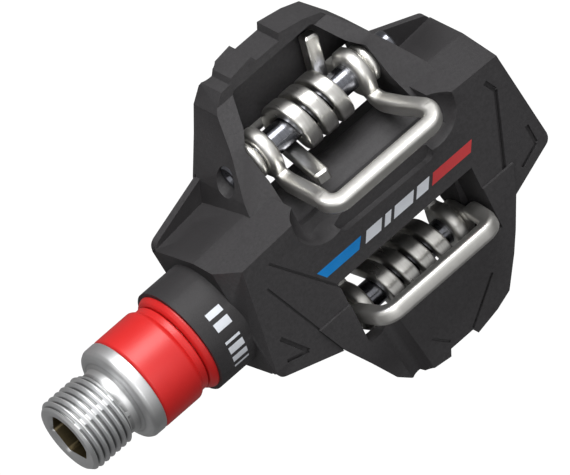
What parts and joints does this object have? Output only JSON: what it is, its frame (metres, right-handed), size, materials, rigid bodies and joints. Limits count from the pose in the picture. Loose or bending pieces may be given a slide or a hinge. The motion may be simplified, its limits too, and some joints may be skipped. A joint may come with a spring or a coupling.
{
  "type": "clipless bicycle pedal",
  "caption": "Double-sided clipless pedal: composite body on a steel axle, with sprung wire arches that grip a shoe cleat.",
  "frame": {"origin": "on the axle's axis, at the flange face that seats on the crank", "axes": "+X along the axle away from the crank, +Y front end, +Z upper side"},
  "size_m": [0.0977, 0.0616, 0.037],
  "materials": {
    "axle_steel": "satin plated",
    "sleeve_red": "glossy",
    "body_composite": "fine moulded grain",
    "arch_steel": "satin",
    "spring_steel": "ground bright",
    "pin_steel": "polished dark",
    "bearing_steel": "polished",
    "cage_polymer": "moulded",
    "seal_rubber": "matte",
    "mark_blue": "printed",
    "mark_red": "printed",
    "mark_white": "printed"
  },
  "bodies": {
    "axle": {"spindle": "axle_steel", "spindle_sleeve": "sleeve_red", "bearing_inner_ring": "bearing_steel", "lock_washer": "axle_steel", "lock_nut": "axle_steel"},
    "pedal_body": {"pedal_frame": "body_composite", "bearing_retainer": "sleeve_red", "axle_seal": "seal_rubber", "needle_bearing_cup": "bearing_steel", "bearing_outer_ring": "bearing_steel", "bearing_shields": "bearing_steel", "end_cap": "body_composite", "front_pivot_pin": "pin_steel", "rear_pivot_pin": "pin_steel", "front_spring": "spring_steel", "rear_spring": "spring_steel"},
    "needle_set": {"needle_rollers": "bearing_steel", "needle_cage": "cage_polymer"},
    "ball_set": {"bearing_balls": "bearing_steel", "ball_cage": "cage_polymer"},
    "top_front_arch": {"top_front_arch": "arch_steel"},
    "top_rear_arch": {"top_rear_arch": "arch_steel"},
    "bottom_front_arch": {"bottom_front_arch": "arch_steel"},
    "bottom_rear_arch": {"bottom_rear_arch": "arch_steel"}
  },
  "joints": [
    {"name": "pedal_spin", "type": "hinge", "parent": "axle", "child": "pedal_body", "pos_m": [0, 0, 0], "axis": [1, 0, 0], "continuous": true},
    {"name": "needle_orbit", "type": "hinge", "parent": "axle", "child": "needle_set", "pos_m": [0, 0, 0], "axis": [1, 0, 0], "continuous": true},
    {"name": "ball_orbit", "type": "hinge", "parent": "axle", "child": "ball_set", "pos_m": [0, 0, 0], "axis": [1, 0, 0], "continuous": true},
    {"name": "top_front_open", "type": "hinge", "parent": "pedal_body", "child": "top_front_arch", "pos_m": [0.05555, 0.0166, -0.0033], "axis": [-1, 0, 0], "range_deg": [0, 18], "stiffness_Nm_per_rad": 3, "springref_deg": -20.05, "deforming": ["front_spring"]},
    {"name": "bottom_front_open", "type": "hinge", "parent": "pedal_body", "child": "bottom_front_arch", "pos_m": [0.05555, 0.0166, -0.0033], "axis": [1, 0, 0], "range_deg": [0, 15], "stiffness_Nm_per_rad": 3, "springref_deg": -20.05, "deforming": ["front_spring"]},
    {"name": "top_rear_open", "type": "hinge", "parent": "pedal_body", "child": "top_rear_arch", "pos_m": [0.05555, -0.0166, 0.0033], "axis": [1, 0, 0], "range_deg": [0, 15], "stiffness_Nm_per_rad": 3, "springref_deg": -20.05, "deforming": ["rear_spring"]},
    {"name": "bottom_rear_open", "type": "hinge", "parent": "pedal_body", "child": "bottom_rear_arch", "pos_m": [0.05555, -0.0166, 0.0033], "axis": [-1, 0, 0], "range_deg": [0, 18], "stiffness_Nm_per_rad": 3, "springref_deg": -20.05, "deforming": ["rear_spring"]}
  ],
  "couplings": [
    {"joint": "needle_orbit", "follows": "pedal_spin", "ratio": 0.565},
    {"joint": "ball_orbit", "follows": "pedal_spin", "ratio": 0.6}
  ]
}
